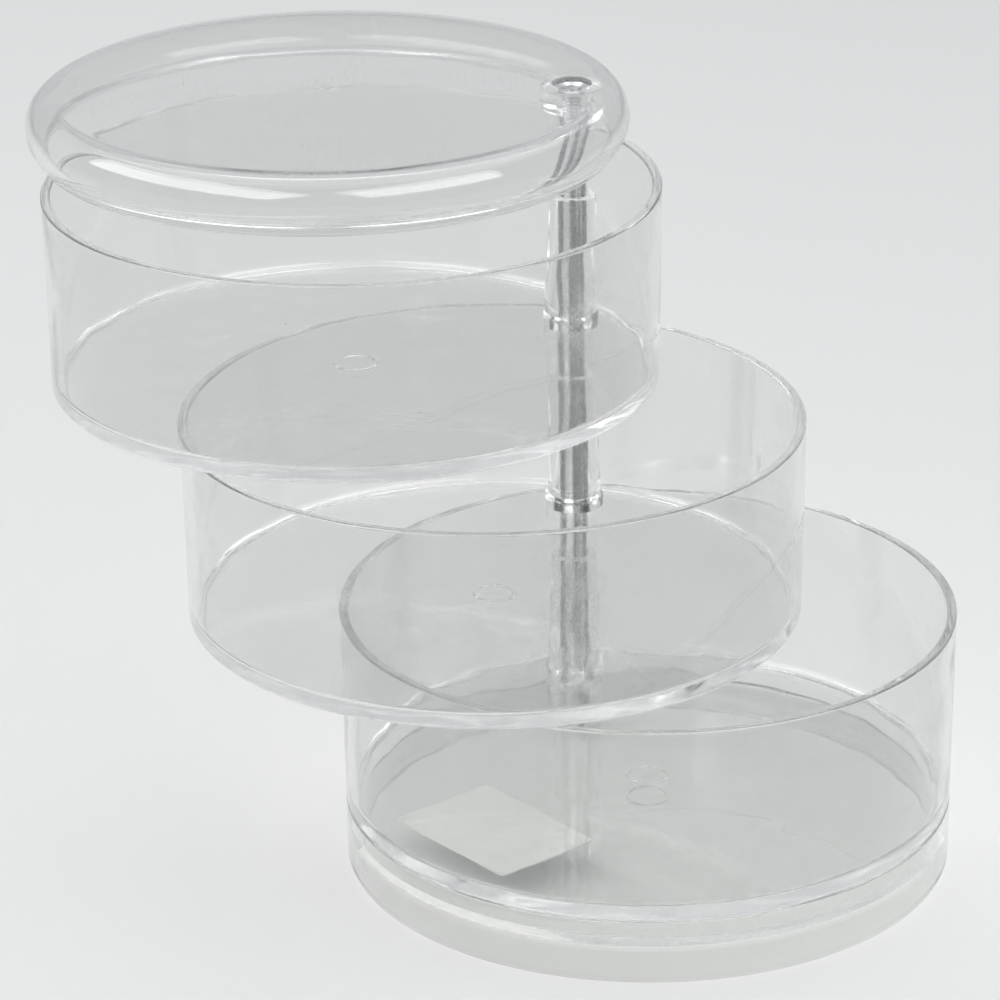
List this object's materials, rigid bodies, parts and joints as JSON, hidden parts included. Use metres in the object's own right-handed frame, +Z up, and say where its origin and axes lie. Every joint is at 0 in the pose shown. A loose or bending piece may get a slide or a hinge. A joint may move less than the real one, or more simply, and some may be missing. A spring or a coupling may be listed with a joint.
{
  "type": "tool storage caddy",
  "caption": "Clear round swivel caddy with stacked trays and a lid that turn about one upright metal rod, for small tools and parts",
  "frame": {"origin": "on the table plane, at the middle of the bounding box as it stands fanned out; the rod stands at x 0.0177, y 0.0247", "axes": "+Z up along the rod, +X to the right and +Y to the back as seen from the side the trays are fanned towards"},
  "size_m": [0.1884, 0.1716, 0.1497],
  "materials": {
    "clear_plastic": "clear glossy moulded plastic with fine scratches",
    "rod_metal": "drawn rod, lightly scratched",
    "nut_metal": "turned, satin",
    "label_paper": "blank pale sticker"
  },
  "bodies": {
    "base": {"base_foot": "clear_plastic", "bottom_tray": "clear_plastic", "pivot_rod": "rod_metal", "rod_top_nut": "nut_metal", "rod_lock_nut": "nut_metal", "floor_label": "label_paper"},
    "middle": {"middle_tray": "clear_plastic"},
    "top": {"top_tray": "clear_plastic"},
    "cover": {"lid": "clear_plastic"}
  },
  "joints": [
    {"name": "middle_tray_swivel", "type": "hinge", "parent": "base", "child": "middle", "pos_m": [0.01772, 0.02474, 0], "axis": [0, 0, 1], "continuous": true},
    {"name": "top_tray_swivel", "type": "hinge", "parent": "base", "child": "top", "pos_m": [0.01772, 0.02474, 0], "axis": [0, 0, 1], "continuous": true},
    {"name": "lid_swivel", "type": "hinge", "parent": "base", "child": "cover", "pos_m": [0.01772, 0.02474, 0], "axis": [0, 0, 1], "continuous": true}
  ]
}
